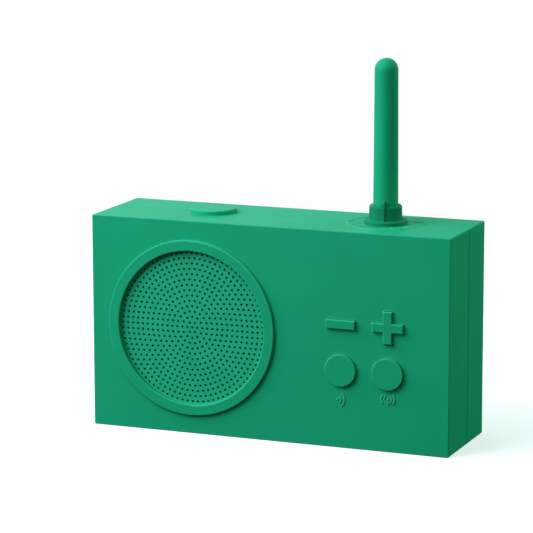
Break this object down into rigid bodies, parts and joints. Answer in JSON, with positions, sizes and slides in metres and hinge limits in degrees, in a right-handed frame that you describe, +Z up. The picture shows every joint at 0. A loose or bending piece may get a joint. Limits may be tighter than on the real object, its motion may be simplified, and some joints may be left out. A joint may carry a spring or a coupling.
{
  "type": "shower speaker",
  "caption": "Splash-proof tabletop loudspeaker and radio in a matte green silicone cover, with a round perforated grille, raised front keys, a top power key and a turning aerial knob.",
  "frame": {"origin": "centre of the bottom face of the body, which stands on a flat surface", "axes": "+Z up along the aerial, the grille and keys face -Y, +X to the right as seen from the front"},
  "size_m": [0.14, 0.0413, 0.1405],
  "materials": {
    "silicone_cover": "matte, soft-touch",
    "silicone_keys": "matte, soft-touch",
    "grille": "matte, moulded and painted",
    "mesh": "fine woven dust cloth",
    "housing": "moulded, fine texture",
    "seal": "smooth",
    "steel": "zinc plated",
    "basket_steel": "black coated sheet",
    "plate_steel": "yellow passivated zinc",
    "ferrite": "ground ceramic magnet",
    "paper_cone": "pressed black paper",
    "roll_rubber": "satin",
    "spider_cloth": "resin dipped cotton",
    "copper": "enamelled wire",
    "brass_part": "turned",
    "board": "solder mask",
    "chip_black": "moulded epoxy",
    "can_metal": "tinned can",
    "nylon_white": "moulded nylon",
    "cell_wrap": "laminated foil",
    "lead_red": "insulated wire"
  },
  "bodies": {
    "case": {"amplifier_chip": "chip_black", "audio_socket": "chip_black", "battery_cell": "cell_wrap", "battery_leads": "lead_red", "board_screws": "steel", "capacitors": "can_metal", "charging_socket": "can_metal", "driver_basket": "basket_steel", "driver_gasket": "seal", "driver_magnet": "ferrite", "driver_screws": "steel", "driver_spider": "spider_cloth", "driver_surround": "roll_rubber", "driver_terminals": "brass_part", "driver_top_plate": "plate_steel", "driver_yoke": "plate_steel", "flap_pin": "steel", "front_cover": "silicone_cover", "front_housing": "housing", "housing_screws": "steel", "housing_seal": "seal", "key_switches": "chip_black", "lead_sockets": "nylon_white", "main_board": "board", "port_board": "board", "power_board": "board", "rear_cover": "silicone_cover", "rear_housing": "housing", "speaker_grille": "grille", "speaker_leads": "lead_red", "speaker_mesh": "mesh", "speaker_ring": "silicone_cover", "tuner_board": "board", "tuner_encoder": "can_metal", "wireless_module": "can_metal"},
    "cone": {"driver_cone": "paper_cone", "driver_dust_cap": "paper_cone", "voice_coil": "copper"},
    "tuner": {"tuner_knob": "silicone_keys", "aerial_sheath": "silicone_keys", "aerial_coil": "steel", "aerial_ferrule": "brass_part", "tuner_shaft": "brass_part", "knob_clip": "steel"},
    "flap": {"port_flap": "silicone_keys"},
    "power_key": {"power_button": "silicone_keys", "power_plunger": "nylon_white", "power_actuator": "nylon_white"},
    "minus_key": {"minus_button": "silicone_keys", "minus_plunger": "nylon_white", "minus_actuator": "nylon_white"},
    "plus_key": {"plus_button": "silicone_keys", "plus_plunger": "nylon_white", "plus_actuator": "nylon_white"},
    "wireless_key": {"wireless_button": "silicone_keys", "wireless_plunger": "nylon_white", "wireless_actuator": "nylon_white"},
    "radio_key": {"radio_button": "silicone_keys", "radio_plunger": "nylon_white", "radio_actuator": "nylon_white"}
  },
  "joints": [
    {"name": "minus_press", "type": "slide", "parent": "case", "child": "minus_key", "axis": [0, 1, 0], "range_m": [0, 0.0006], "stiffness_N_per_m": 600},
    {"name": "plus_press", "type": "slide", "parent": "case", "child": "plus_key", "axis": [0, 1, 0], "range_m": [0, 0.0006], "stiffness_N_per_m": 600},
    {"name": "wireless_press", "type": "slide", "parent": "case", "child": "wireless_key", "axis": [0, 1, 0], "range_m": [0, 0.0006], "stiffness_N_per_m": 600},
    {"name": "radio_press", "type": "slide", "parent": "case", "child": "radio_key", "axis": [0, 1, 0], "range_m": [0, 0.0006], "stiffness_N_per_m": 600},
    {"name": "power_press", "type": "slide", "parent": "case", "child": "power_key", "axis": [0, 0, -1], "range_m": [0, 0.0006], "stiffness_N_per_m": 600},
    {"name": "tuner_turn", "type": "hinge", "parent": "case", "child": "tuner", "pos_m": [0.038, 0.0015, 0.08], "axis": [0, 0, 1], "range_deg": [-120, 120]},
    {"name": "flap_hinge", "type": "hinge", "parent": "case", "child": "flap", "pos_m": [0.023, 0.01905, 0.012], "axis": [0, 0, 1], "range_deg": [0, 95]},
    {"name": "cone_travel", "type": "slide", "parent": "case", "child": "cone", "axis": [0, -1, 0], "range_m": [-0.001, 0.001], "stiffness_N_per_m": 500, "deforming": ["driver_surround", "driver_spider"]}
  ]
}
